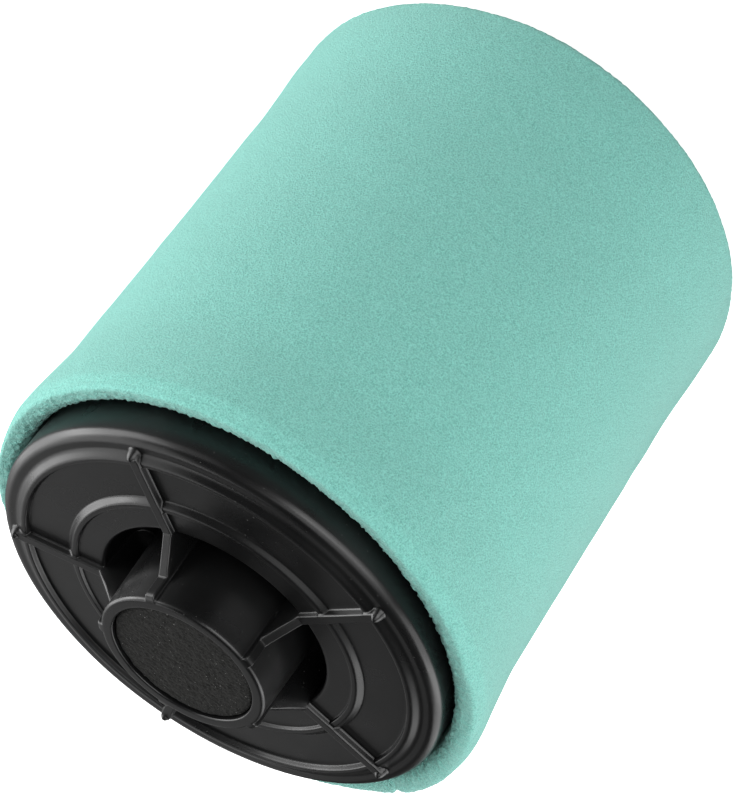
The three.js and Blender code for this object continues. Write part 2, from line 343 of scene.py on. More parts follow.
@dataclass
class Wiring:
    """Adds nodes to a shader tree, and sets or links their inputs by name."""

    tree: bpy.types.NodeTree

    def feed(self, socket: bpy.types.NodeSocket, value: Value) -> None:
        """Links an output socket to an input, or sets the input to a plain value."""
        if isinstance(value, bpy.types.NodeSocket):
            self.tree.links.new(value, socket)
        else:
            socket.default_value = (*value, 1.0) if socket.type == "RGBA" else value

    def add(self, kind: str, settings: dict | None = None, **inputs: Value) -> bpy.types.Node:
        """Adds one node.

        Args:
            kind: The node's type name, without its ShaderNode prefix.
            settings: Properties of the node itself.
            **inputs: Plain values or output sockets, with _ for a space in the input's name.

        Returns:
            The new node.
        """
        node = self.tree.nodes.new("ShaderNode" + kind)
        for key, value in (settings or {}).items():
            setattr(node, key, value)
        for key, value in inputs.items():
            self.feed(node.inputs[key.replace("_", " ")], value)
        return node

    def math(self, operation: str, first: Value, second: Value = 0.0) -> bpy.types.NodeSocket:
        """The result of one arithmetic step on numbers or sockets."""
        node = self.add("Math", {"operation": operation})
        self.feed(node.inputs[0], first)
        self.feed(node.inputs[1], second)
        return node.outputs[0]

    def ramp(
        self, value: Value, low: float, high: float, to_low: float = 0.0, to_high: float = 1.0
    ) -> bpy.types.NodeSocket:
        """A value moved from one range to another and held inside it."""
        ends = {"From_Min": low, "From_Max": high, "To_Min": to_low, "To_Max": to_high}
        return self.add("MapRange", Value=value, **ends).outputs["Result"]

    def mix(self, share: Value, first: Value, second: Value) -> bpy.types.NodeSocket:
        """Blends two colours by a share that varies over the surface."""
        node = self.add("Mix", {"data_type": "RGBA"})
        for number, value in ((0, share), (6, first), (7, second)):
            self.feed(node.inputs[number], value)
        return node.outputs[2]

    def noise(self, vector: Value, scale: Value, detail: float = 2.0) -> bpy.types.NodeSocket:
        """Fractal noise from 0 to 1."""
        return self.add("TexNoise", Vector=vector, Scale=scale, Detail=detail).outputs["Fac"]

    def stretched(self, vector: Value, scale: tuple[float, float, float]) -> bpy.types.NodeSocket:
        """Coordinates squeezed by a factor along each axis."""
        return self.add("Mapping", Vector=vector, Scale=scale).outputs["Vector"]

    def relief(self, shader: bpy.types.Node, height: Value, depth: float) -> None:
        """Feeds a height, in depths of so many metres, to the shader's Normal."""
        bump = self.add("Bump", Height=height, Distance=depth, Strength=1.0)
        self.feed(shader.inputs["Normal"], bump.outputs["Normal"])


def new_group(name: str, inputs: dict[str, str], outputs: list[str]) -> tuple[Wiring, dict, dict]:
    """Starts a shader node group.

    Args:
        name: The group's name.
        inputs: Input names and their socket types.
        outputs: Names of the number outputs.

    Returns:
        The group's wiring, its input sockets by name, and its output sockets by name.
    """
    tree = bpy.data.node_groups.new(name, "ShaderNodeTree")
    for label, kind in inputs.items():
        tree.interface.new_socket(name=label, in_out="INPUT", socket_type=kind)
    for label in outputs:
        tree.interface.new_socket(name=label, in_out="OUTPUT", socket_type="NodeSocketFloat")
    entry = tree.nodes.new("NodeGroupInput")
    leave = tree.nodes.new("NodeGroupOutput")
    given = {label: entry.outputs[label] for label in inputs}
    result = {label: leave.inputs[label] for label in outputs}
    return Wiring(tree), given, result


def open_cell_group() -> bpy.types.NodeTree:
    """Open-cell foam: a mask of the pits, where the foam material paints shade, in a mesh of struts, with a soft
    mottle over them.

    Returns:
        A group with inputs Vector and Cell Size, and outputs Pits, Mottle and Height.
    """
    sizes = {"Vector": "NodeSocketVector", "Cell Size": "NodeSocketFloat"}
    wiring, given, result = new_group("open_cell_foam", sizes, ["Pits", "Mottle", "Height"])
    scale = wiring.math("DIVIDE", 1.0, given["Cell Size"])
    cells = wiring.add("TexVoronoi", Vector=given["Vector"], Scale=scale)
    open_cell = wiring.ramp(cells.outputs["Distance"], 0.15, 0.6, 1.0, 0.0)
    broken = wiring.noise(given["Vector"], wiring.math("MULTIPLY", scale, 1.1), 2.0)
    # The pit mask: it sets where painted shade darkens the pits, and it sets the relief.
    pit_shade = wiring.math("ADD", wiring.math("MULTIPLY", open_cell, 0.5), wiring.ramp(broken, 0.35, 0.65, -0.1, 0.7))
    mottle = wiring.noise(given["Vector"], wiring.math("MULTIPLY", scale, 0.3), 2.0)
    wiring.feed(result["Pits"], pit_shade)
    wiring.feed(result["Mottle"], wiring.ramp(mottle, 0.3, 0.7))
    wiring.feed(result["Height"], wiring.math("SUBTRACT", 0.5, pit_shade))
    return wiring.tree


def moulded_skin_group() -> bpy.types.NodeTree:
    """The skin of a moulded piece: faint grain, soft flow marks and a little settled dust.

    Returns:
        A group with inputs Vector and Grain Size, and outputs Flow, Dust and Height.
    """
    sizes = {"Vector": "NodeSocketVector", "Grain Size": "NodeSocketFloat"}
    wiring, given, result = new_group("moulded_skin", sizes, ["Flow", "Dust", "Height"])
    scale = wiring.math("DIVIDE", 1.0, given["Grain Size"])
    grain = wiring.noise(given["Vector"], scale, 3.0)
    flow = wiring.noise(given["Vector"], wiring.math("MULTIPLY", scale, 0.02), 3.0)
    speck = wiring.noise(given["Vector"], wiring.math("MULTIPLY", scale, 0.5), 1.0)
    dust = wiring.ramp(speck, 0.74, 0.8)
    wiring.feed(result["Flow"], wiring.ramp(flow, 0.3, 0.7))
    wiring.feed(result["Dust"], dust)
    wiring.feed(result["Height"], wiring.math("ADD", grain, wiring.math("MULTIPLY", dust, 0.5)))
    return wiring.tree


@dataclass(frozen=True)
class Groups:
    """The shared node groups."""

    open_cell: bpy.types.NodeTree
    moulded_skin: bpy.types.NodeTree


def start_material(name: str, roughness: float) -> tuple[bpy.types.Material, Wiring, bpy.types.Node, Value]:
    """Starts a material with one Principled shader.

    Args:
        name: The material's name.
        roughness: Its plain roughness.

    Returns:
        The material, its wiring, the shader node, and the piece's own coordinates.
    """
    material = bpy.data.materials.new(name)
    material.use_nodes = True
    shader = material.node_tree.nodes["Principled BSDF"]
    shader.inputs["Roughness"].default_value = roughness
    wiring = Wiring(material.node_tree)
    return material, wiring, shader, wiring.add("TexCoord").outputs["Object"]


@dataclass(frozen=True)
class FoamFinish:
    """Open-cell foam: struts in one colour, painted shade in the pits in a darker one, and painted glints on cut
    struts.
    """

    name: str
    strut: Colour
    pit_shade: Colour
    cell_size: float
    relief: float
    sheen: float
    sheen_tint: Colour
    painted_glint: float = 0.0

    def material(self, groups: Groups) -> bpy.types.Material:
        """Builds the material.

        Args:
            groups: The shared node groups.

        Returns:
            The new material.
        """
        material, wiring, shader, place = start_material(self.name, 0.95)
        foam = wiring.add(
            "Group", {"node_tree": groups.open_cell}, Vector=place, Cell_Size=self.cell_size
        ).outputs
        # Painted shade: the pits take a darker colour that stands in for the shade inside them.
        colour = wiring.mix(foam["Pits"], self.strut, self.pit_shade)
        deeper = tuple(0.86 * channel for channel in self.strut)
        colour = wiring.mix(wiring.math("MULTIPLY", foam["Mottle"], 0.45), colour, deeper)
        # Painted highlight: pale specks in the colour stand in for glints on cut struts.
        if self.painted_glint:
            painted_glint = wiring.noise(place, 1.5 / self.cell_size, 0.0)
            colour = wiring.mix(wiring.ramp(painted_glint, 0.82, 0.86, 0.0, self.painted_glint), colour, (0.8, 0.8, 0.78))
        wiring.feed(shader.inputs["Base Color"], colour)
        shader.inputs["Sheen Weight"].default_value = self.sheen
        shader.inputs["Sheen Roughness"].default_value = 0.55
        shader.inputs["Sheen Tint"].default_value = (*self.sheen_tint, 1.0)
        shader.inputs["Specular IOR Level"].default_value = 0.15
        wiring.relief(shader, foam["Height"], self.relief)
        return material


@dataclass(frozen=True)
class MouldedFinish:
    """A moulded plastic or rubber skin."""

    name: str
    colour: Colour
    roughness: float
    grain_size: float
    relief: float
    flow_depth: float = 0.06
    dust_colour: Colour = (0.3, 0.3, 0.29)
    dust_share: float = 0.3

    def material(self, groups: Groups) -> bpy.types.Material:
        """Builds the material.

        Args:
            groups: The shared node groups.

        Returns:
            The new material.
        """
        material, wiring, shader, place = start_material(self.name, self.roughness)
        skin = wiring.add(
            "Group", {"node_tree": groups.moulded_skin}, Vector=place, Grain_Size=self.grain_size
        ).outputs
        paler = tuple(1.35 * channel for channel in self.colour)
        colour = wiring.mix(skin["Flow"], self.colour, paler)
        dust = wiring.math("MULTIPLY", skin["Dust"], self.dust_share)
        wiring.feed(shader.inputs["Base Color"], wiring.mix(dust, colour, self.dust_colour))
        low, high = self.roughness - self.flow_depth, self.roughness + self.flow_depth
        worn = wiring.ramp(skin["Flow"], 0.0, 1.0, low, high)
        dusty = wiring.math("MULTIPLY", skin["Dust"], 0.3)
        wiring.feed(shader.inputs["Roughness"], wiring.math("ADD", worn, dusty))
        wiring.relief(shader, skin["Height"], self.relief)
        return material


@dataclass(frozen=True)
class PaperFinish:
    """Resin-treated filter paper: matted fibres and uneven resin."""

    name: str
    colour: Colour
    shade: Colour

    def material(self, groups: Groups) -> bpy.types.Material:
        """Builds the material.

        Args:
            groups: The shared node groups.

        Returns:
            The new material.
        """
        material, wiring, shader, place = start_material(self.name, 0.85)
        fibres = wiring.noise(wiring.stretched(place, (1.0, 1.0, 0.3)), 2600.0, 4.0)
        resin = wiring.noise(place, 90.0, 3.0)
        share = wiring.math("MULTIPLY", wiring.ramp(resin, 0.3, 0.7), wiring.ramp(fibres, 0.3, 0.7))
        wiring.feed(shader.inputs["Base Color"], wiring.mix(share, self.colour, self.shade))
        skin = wiring.add("Group", {"node_tree": groups.moulded_skin}, Vector=place, Grain_Size=0.0006)
        height = wiring.math("ADD", fibres, wiring.math("MULTIPLY", skin.outputs["Height"], 0.5))
        wiring.relief(shader, height, 0.00006)
        return material


@dataclass(frozen=True)
class GlueFinish:
    """A set adhesive or hot melt: waxy, a little see-through, with soft lumps."""

    name: str
    colour: Colour
    shade: Colour
    roughness: float

    def material(self, groups: Groups) -> bpy.types.Material:
        """Builds the material.

        Args:
            groups: The shared node groups.

        Returns:
            The new material.
        """
        material, wiring, shader, place = start_material(self.name, self.roughness)
        skin = wiring.add("Group", {"node_tree": groups.moulded_skin}, Vector=place, Grain_Size=0.0012)
        cloud = wiring.noise(place, 300.0, 3.0)
        colour = wiring.mix(wiring.ramp(cloud, 0.35, 0.65), self.colour, self.shade)
        wiring.feed(shader.inputs["Base Color"], colour)
        shader.inputs["Subsurface Weight"].default_value = 0.25
        shader.inputs["Subsurface Radius"].default_value = (1.0, 0.7, 0.4)
        shader.inputs["Subsurface Scale"].default_value = 0.001
        wiring.relief(shader, wiring.math("ADD", cloud, skin.outputs["Height"]), 0.00005)
        return material


@dataclass(frozen=True)
class SteelFinish:
    """Thin rolled strip steel with drawn lines along its length."""

    name: str
    colour: Colour
    roughness: float

    def material(self, groups: Groups) -> bpy.types.Material:
        """Builds the material.

        Args:
            groups: The shared node groups.

        Returns:
            The new material.
        """
        material, wiring, shader, place = start_material(self.name, self.roughness)
        shader.inputs["Metallic"].default_value = 1.0
        drawn = wiring.noise(wiring.stretched(place, (1.0, 1.0, 0.02)), 4000.0, 3.0)
        skin = wiring.add("Group", {"node_tree": groups.moulded_skin}, Vector=place, Grain_Size=0.0008)
        dull = tuple(0.7 * channel for channel in self.colour)
        wiring.feed(shader.inputs["Base Color"], wiring.mix(skin.outputs["Flow"], self.colour, dull))
        low, high = self.roughness - 0.08, self.roughness + 0.14
        wiring.feed(shader.inputs["Roughness"], wiring.ramp(drawn, 0.3, 0.7, low, high))
        wiring.relief(shader, drawn, 0.00001)
        return material


FINISHES = {
    Slot.CAP_PLASTIC: MouldedFinish(
        "black_cap_plastic", (0.003, 0.0031, 0.0032), 0.31, 0.00035, 0.000003, dust_share=0.12
    ),
    Slot.CAGE_PLASTIC: MouldedFinish("cage_plastic", (0.02, 0.021, 0.023), 0.45, 0.0004, 0.00001),
    Slot.SEAL_RUBBER: MouldedFinish("seal_rubber", (0.011, 0.011, 0.012), 0.62, 0.0003, 0.00001, 0.05),
    Slot.PAD_FOAM: FoamFinish(
        "charcoal_pad_foam",
        strut=(0.022, 0.022, 0.0205),
        # Painted shade in the pad's pores.
        pit_shade=(0.0045, 0.0045, 0.0045),
        cell_size=0.0005,
        relief=0.0001,
        sheen=0.02,
        sheen_tint=(0.9, 0.9, 0.9),
        # Painted glints on the pad.
        painted_glint=0.5,
    ),
    Slot.SLEEVE_FOAM: FoamFinish(
        "green_sleeve_foam",
        strut=(0.28, 0.69, 0.61),
        # Painted shade in the sleeve's pores.
        pit_shade=(0.14, 0.44, 0.375),
        cell_size=0.0004,
        relief=0.00011,
        sheen=0.35,
        sheen_tint=(0.85, 1.0, 0.95),
    ),
    Slot.FOAM_GLUE: GlueFinish("foam_seam_glue", (0.3, 0.68, 0.56), (0.2, 0.55, 0.44), 0.45),
    Slot.FILTER_PAPER: PaperFinish("cream_filter_paper", (0.82, 0.76, 0.6), (0.68, 0.6, 0.43)),
    Slot.POTTING: GlueFinish("potting_adhesive", (0.66, 0.55, 0.3), (0.55, 0.43, 0.2), 0.35),
    Slot.HOT_MELT: GlueFinish("hot_melt_glue", (0.86, 0.82, 0.7), (0.75, 0.68, 0.5), 0.3),
    Slot.CLIP_STEEL: SteelFinish("clip_steel", (0.66, 0.67, 0.69), 0.3),
}


class Workshop:
    """Builds the shared node groups, and each material the first time it is asked for."""

    def __init__(self) -> None:
        """Builds the node groups."""
        self.groups = Groups(open_cell_group(), moulded_skin_group())
        self.made: dict[Slot, bpy.types.Material] = {}

    def material(self, slot: Slot) -> bpy.types.Material:
        """The material of a slot."""
        if slot not in self.made:
            self.made[slot] = FINISHES[slot].material(self.groups)
        return self.made[slot]


# ---------------------------------------------------------------------------------------------
# Closed end
# ---------------------------------------------------------------------------------------------


@dataclass
class RibSizes:
    """The five ribs that tie the disc to the hub, and the domed boss at each outer end."""

    first_angle: float = -157.5
    pitch: float = 72.0
    half_width: float = 1.14
    draft: float = 0.17
    top: float = 136.15
    outer_radius: float = 47.9
    pocket_radius: float = 26.9
    hub_height: float = 141.9
    hub_radius: float = 20.35
    nub_height: float = 146.4
    boss_radius: float = 1.5
    boss_height: float = 2.35


@dataclass
class ClosedEnd:
    """The moulded closed cap, the foam pad in its hub, and the potting under it."""

    workshop: Workshop
    rim_radius: float = 52.0
    disc_height: float = 134.45
    collar_height: float = 134.95
    bead_height: float = 135.6
    pocket_floor: float = 122.6
    pocket_radius: float = 26.2
    hub_top: float = 147.6
    hub_radius: float = 19.24
    bore_radius: float = 16.45
    bore_floor: float = 137.6
    pad_radius: float = 16.3
    pad_top: float = 147.1
    ribs: RibSizes = field(default_factory=RibSizes)

    def outline(self) -> Array:
        """The cap's section, from the axis below the bore floor round to the axis above it.

        Returns:
            Points, (rows, 2), with steps of about half a millimetre on the side that shows.
        """
        under_plate, under_pocket = self.disc_height - 2.0, self.pocket_floor - 2.0
        corners = [
            (0.0, self.bore_floor - 2.0, 0.0),
            (16.7, self.bore_floor - 2.0, 1.2),
            (17.4, under_pocket, 0.6),
            (28.9, under_pocket, 3.0),
            (29.0, under_plate, 0.8),
            (50.0, under_plate, 0.8),
            (50.1, 121.0, 0.25),
            (51.8, 121.0, 0.4),
            (self.rim_radius, self.disc_height + 0.1, 2.3),
            (47.9, self.disc_height + 0.1, 2.2),
            (46.3, self.bead_height, 1.6),
            (45.2, self.bead_height, 0.35),
            (44.8, self.disc_height, 0.25),
            (35.0, self.disc_height, 0.7),
            (33.8, self.bead_height, 0.9),
            (32.6, self.bead_height, 0.3),
            (32.3, self.collar_height, 0.2),
            (self.pocket_radius, self.collar_height, 0.8),
            (25.9, self.pocket_floor, 3.2),
            (20.0, self.pocket_floor, 2.6),
            (self.hub_radius, self.hub_top, 0.75),
            (self.bore_radius, self.hub_top, 0.35),
            (self.bore_radius, self.bore_floor, 0.4),
            (0.0, self.bore_floor, 0.0),
        ]

        def longest(at: Array) -> Array:
            """Short steps at the bosses, medium ones where the cap shows, long ones inside."""
            near_boss = np.abs(at[:, 0] - self.ribs.outer_radius) < 2.0
            on_top = at[:, 1] > self.disc_height - 0.1
            in_pocket = (at[:, 0] < 27.5) & (at[:, 0] > 18.9) & (at[:, 1] > under_pocket + 1.0)
            step = np.where(on_top | in_pocket, 0.55, 2.5)
            return np.where(near_boss & on_top, 0.17, step)

        return densified(rounded_outline(corners, 7), longest, closed=False)

    def rib_line(self, outline: Array) -> tuple[Array, Array]:
        """Where a rib's crest lies for each row of the outline.

        Over the disc the crest keeps the row's radius at one height. Rows of the pocket, from its
        edge to the hub, spread by their length along a straight slope up to the hub. Rows of the
        hub stand out to one radius, and curl back to the rim like a quarter of an ellipse.

        Args:
            outline: The cap's section.

        Returns:
            The crest's points, (rows, 2), and each row's share of the rib, from 0 to 1.
        """
        ribs, radius, height = self.ribs, outline[:, 0], outline[:, 1]
        rows = np.arange(len(outline))
        rim = int(np.argmax((radius > 51.0) & (height > 132.5)))
        edge = int(np.argmax((rows > rim) & (radius < ribs.pocket_radius)))
        hub = edge + int(np.argmax(height[edge:] > ribs.hub_height))
        bore = hub + int(np.argmax(radius[hub:] < self.hub_radius - 0.75))
        crest = outline.copy()
        share = np.zeros(len(outline))
        disc = (rows > rim) & (rows < edge)
        crest[disc, 1] = np.maximum(height[disc], ribs.top)
        share[disc] = smoothstep(ribs.outer_radius + 0.7, ribs.outer_radius + 0.2, radius[disc])
        step = np.linalg.norm(np.diff(outline, axis=0), axis=1)
        travelled = np.concatenate([[0.0], np.cumsum(step)])
        slope = (travelled[edge:hub] - travelled[edge]) / (travelled[hub] - travelled[edge])
        start = np.array([radius[edge], ribs.top])
        finish = np.array([ribs.hub_radius, ribs.hub_height])
        crest[edge:hub] = start + slope[:, None] * (finish - start)
        curl = np.clip((height[hub:bore] - ribs.nub_height) / 1.15, 0.0, 1.0)
        reach = (ribs.hub_radius - radius[hub:bore]) * np.sqrt(1.0 - curl**2)
        crest[hub:bore, 0] = radius[hub:bore] + np.maximum(reach, 0.0)
        share[edge:bore] = 1.0
        return crest, share

    def cap_grid(self) -> Array:
        """The cap's whole surface.

        Columns stand in a close fan at each rib, at fixed distances beside the rib's middle plane,
        and spread evenly between ribs. A point is the turned section's point blended towards the
        rib's crest. The blend is 1 on the rib, and falls to 0 over the rib's drafted side. Each
        outer end has a dome, a power of one minus the squared distance from its middle.

        Returns:
            Points, (rows, columns, 3).
        """
        ribs, outline = self.ribs, self.outline()
        crest, share = self.rib_line(outline)
        near_rib = [0, 0.2, 0.4, 0.6, 0.78, 0.92, 1.01, 1.1, 1.18, 1.28, 1.42, 1.56, 1.7, 1.95, 2.4]
        beside = np.array(near_rib)
        offsets = np.concatenate([-beside[:0:-1], beside])
        fill = 20
        radius, height = outline[:, :1], outline[:, 1:]
        fan = np.arcsin(offsets / np.maximum(radius, 16.0))
        gap = math.radians(ribs.pitch) - 2 * fan[:, -1:]
        spread = fan[:, -1:] + gap * np.arange(1, fill + 1) / (fill + 1)
        weight = smoothstep(ribs.half_width + ribs.draft, ribs.half_width - ribs.draft, np.abs(offsets))
        blend = share[:, None] * weight
        along = radius * np.cos(fan)
        along = along + (crest[:, :1] - along) * blend
        across = radius * np.sin(fan)
        up = height + (crest[:, 1:] - height) * blend
        from_boss = np.hypot(along - ribs.outer_radius, across) / ribs.boss_radius
        dome = ribs.boss_height * np.maximum(0.0, 1.0 - from_boss**2) ** 0.8
        on_top = height > self.disc_height - 0.2
        up = np.where(on_top & (dome > 0), np.maximum(up, self.disc_height + 0.1 + dome), up)
        near = np.stack([along, across, up], axis=-1)
        sector = np.concatenate([near, spun(radius, height, spread)], axis=1)
        turns = np.radians(ribs.first_angle + ribs.pitch * np.arange(5))
        cos, sin = np.cos(turns)[:, None, None], np.sin(turns)[:, None, None]
        x = sector[..., 0] * cos - sector[..., 1] * sin
        y = sector[..., 0] * sin + sector[..., 1] * cos
        z = np.broadcast_to(sector[..., 2], x.shape)
        grid = np.stack([x, y, z], axis=-1).transpose(1, 0, 2, 3).reshape(len(outline), -1, 3)
        sink = 0.03 * lattice_noise(grid, 14.0, 11)
        shows = (outline[:, 1] > self.disc_height - 0.2) & (outline[:, 0] > 20.5)
        grid[..., 2] += sink * shows[:, None]
        return grid

    def pad_grid(self) -> Array:
        """The foam pad in the hub: a disc with a soft edge, pitted all over by its cells.

        The height is the outline's height, less a slight crown, plus noise at the size of a cell
        and of a few cells.

        Returns:
            Points, (rows, columns, 3).
        """
        corners = [
            (0.0, self.bore_floor + 0.3, 0.0),
            (self.pad_radius, self.bore_floor + 0.3, 0.4),
            (self.pad_radius, self.pad_top, 0.7),
            (0.0, self.pad_top, 0.0),
        ]
        outline = rounded_outline(corners, 4)
        outline = densified(outline, lambda at: np.where(at[:, 1] > self.pad_top - 0.8, 0.22, 1.5), False)
        angle = np.arange(300) * TURN / 300
        grid = spun(outline[:, :1], outline[:, 1:], angle)
        top = smoothstep(self.pad_top - 1.0, self.pad_top - 0.1, outline[:, 1])[:, None]
        cells = 0.16 * lattice_noise(grid, 0.55, 21) + 0.1 * lattice_noise(grid, 1.3, 22)
        crown = 0.25 * (outline[:, :1] / self.pad_radius) ** 2
        grid[..., 2] += top * (cells - crown)
        return grid

    def build(self) -> None:
        """Builds the pieces and hands them to the frame."""
        plastic = self.workshop.material(Slot.CAP_PLASTIC)
        cap = grid_piece("closed_end_moulding", self.cap_grid(), Ends.POLES)
        settle(cap, Body.CARTRIDGE, Slot.CAP_PLASTIC, plastic, "closed_end_cap")
        foam = self.workshop.material(Slot.PAD_FOAM)
        pad = grid_piece("hub_pad", self.pad_grid(), Ends.POLES)
        settle(pad, Body.CARTRIDGE, Slot.PAD_FOAM, foam, "hub_foam_pad")
        redress("closed_end_potting", self.workshop.material(Slot.POTTING))


# ---------------------------------------------------------------------------------------------
# Filter element
# ---------------------------------------------------------------------------------------------


@dataclass
class FilterElement:
    """The pleated paper, its seam clip, the glue beads round it and the cage inside it."""

    workshop: Workshop
    bottom: float = 5.3
    top: float = 129.3
    seam_angle: float = 180.0
    pleats: int = 60
    inner_radius: float = 35.9
    outer_radius: float = 49.1
    half_tip: float = 0.55
    half_paper: float = 0.3
    bead_heights: tuple[float, ...] = (36.0, 67.0, 98.0)
    cage_inner: float = 34.0
    cage_outer: float = 35.2

    def fold_line(self) -> Array:
        """The middle line of the folded sheet, seen from above, with its two ends side by side.

        Each fold is a pair of points half a tip either side of its spoke, rounded off by an arc.

        Returns:
            Points, (count, 2), anticlockwise, in the element's own frame with the seam at angle 0.
        """
        turns = np.arange(1, 2 * self.pleats) * TURN / self.pleats / 2
        reach = np.where(np.arange(1, 2 * self.pleats) % 2 == 1, self.inner_radius, self.outer_radius)
        sides = np.array([-self.half_tip, self.half_tip])
        x = reach[:, None] * np.cos(turns)[:, None] - sides * np.sin(turns)[:, None]
        y = reach[:, None] * np.sin(turns)[:, None] + sides * np.cos(turns)[:, None]
        folds = np.stack([x, y], axis=-1).reshape(-1, 2)
        corners = [(46.8, 0.62, 0.0), (41.5, 0.62, 1.0)]
        corners += [(px, py, 0.5) for px, py in folds]
        corners += [(41.5, -0.62, 1.0), (46.8, -0.62, 0.0)]
        line = rounded_outline(corners, 4)
        return densified(line, lambda at: np.full(len(at), 4.6), closed=False)

    def paper_grid(self) -> Array:
        """The paper as a closed sheet: the fold line moved half a thickness to either side.

        Each level is moved a little round the axis by noise that changes slowly from pleat to
        pleat and along the height, and fades out at the glue that holds the tips.

        Returns:
            Points, (rows, columns, 3), each row a loop out along one side and back along the other.
        """
        line = self.fold_line()
        along = np.gradient(line, axis=0)
        along /= np.linalg.norm(along, axis=1, keepdims=True)
        side = np.stack([along[:, 1], -along[:, 0]], axis=1) * self.half_paper
        loop = np.concatenate([line + side, (line - side)[::-1]])
        radius, angle = np.hypot(loop[:, 0], loop[:, 1]), np.arctan2(loop[:, 1], loop[:, 0])
        height = np.linspace(self.bottom, self.top, 33)
        fixed = np.array([self.bottom, *self.bead_heights, self.top])
        free = smoothstep(0.0, 12.0, np.abs(height[:, None] - fixed).min(axis=1))
        at = spun(60.0, height[:, None], angle)
        clear_of_seam = smoothstep(0.06, 0.2, np.abs(angle))
        sway = 0.55 * lattice_noise(at, 5.5, 31) * free[:, None] * clear_of_seam
        turned = angle + math.radians(self.seam_angle) + sway / 50.0
        return spun(radius, height[:, None], turned)

    def bead_grid(self, height: float, seed: int) -> Array:
        """One glue bead: a round-backed ring that sags inwards between the pleat tips.

        The section is a flattened circle. Its middle radius swings with the cosine of the pleats,
        and its thickness and height wander with noise.

        Args:
            height: The bead's middle height.
            seed: Chooses the noise.

        Returns:
            Points, (rows, columns, 3).
        """
        angle = np.arange(720) * TURN / 720
        around = (np.arange(16) * TURN / 16)[:, None]
        path = spun(50.0, 0.0, angle)
        swing = np.cos(self.pleats * (angle - math.radians(self.seam_angle)))
        middle = 50.3 + 0.22 * swing
        thick = 1.0 + 0.14 * lattice_noise(path, 4.0, seed) - 0.06 * swing
        climb = 0.35 * lattice_noise(path, 14.0, seed + 1)
        radius = middle + 0.85 * thick * np.cos(around)
        return spun(np.minimum(radius, 51.35), height + climb + 1.5 * thick * np.sin(around), angle)

    def cage(self) -> bpy.types.Object:
        """The support cage: a tube of rings and staves, with its windows' corners rounded.

        The faces lie on a grid of angle and height. Those inside a window are left out, and the
        rest become a wall with Solidify and rounded edges with Subdivision Surface.

        Returns:
            The new piece.
        """
        columns, rows, ring = 8, 8, 4.0
        row_pitch = (self.top - self.bottom - ring) / rows
        stave = math.degrees(5.0 / self.cage_inner) / 2
        column_lines = np.array([-stave, -stave * 0.5, stave * 0.5, stave, stave + 3, 22.5, 42 - stave])
        angle = (np.arange(columns)[:, None] * 45.0 + column_lines).ravel()
        row_lines = np.array([0.0, 0.8, ring - 0.8, ring, ring + 1.6, (ring + row_pitch) / 2, row_pitch - 1.6])
        height = (np.arange(rows)[:, None] * row_pitch + row_lines).ravel()
        height = np.concatenate([height, rows * row_pitch + row_lines[:4]]) + self.bottom
        middle = (self.cage_inner + self.cage_outer) / 2
        grid = spun(middle, height[:, None], np.radians(angle))
        here = np.arange(len(height) * len(angle)).reshape(len(height), len(angle))
        beside, above = np.roll(here, -1, axis=1), np.roll(here, -1, axis=0)
        quads = np.stack([here, beside, np.roll(above, -1, axis=1), above], axis=-1)[:-1]
        in_window = np.arange(len(angle)) % 7 >= 3
        in_row = np.arange(len(height) - 1) % 7 >= 3
        faces = quads[~(in_row[:, None] & in_window[None, :])]
        used, renumbered = np.unique(faces, return_inverse=True)
        piece = mesh_piece("support_cage", grid.reshape(-1, 3)[used], renumbered.reshape(-1, 4))
        wall = piece.modifiers.new("wall", "SOLIDIFY")
        wall.thickness = (self.cage_outer - self.cage_inner) * MM
        wall.offset = 0.0
        soft = piece.modifiers.new("soft_edges", "SUBSURF")
        soft.levels = soft.render_levels = 2
        return piece

    def build(self) -> None:
        """Builds the pieces and hands them to the frame."""
        paper = grid_piece("pleated_element", self.paper_grid(), Ends.STRIPS)
        sheet = self.workshop.material(Slot.FILTER_PAPER)
        settle(paper, Body.CARTRIDGE, Slot.FILTER_PAPER, sheet, "pleated_paper")
        glue = self.workshop.material(Slot.HOT_MELT)
        for number, height in enumerate(self.bead_heights, 1):
            bead = grid_piece(f"glue_bead_{number}", self.bead_grid(height, 40 + 2 * number), Ends.JOINED)
            settle(bead, Body.CARTRIDGE, Slot.HOT_MELT, glue, f"pleat_spacer_bead_{number}")
        plastic = self.workshop.material(Slot.CAGE_PLASTIC)
        settle(self.cage(), Body.CARTRIDGE, Slot.CAGE_PLASTIC, plastic, "support_core")
        redress("pleat_seam_clip", self.workshop.material(Slot.CLIP_STEEL))


# ---------------------------------------------------------------------------------------------
# Open end
# ---------------------------------------------------------------------------------------------


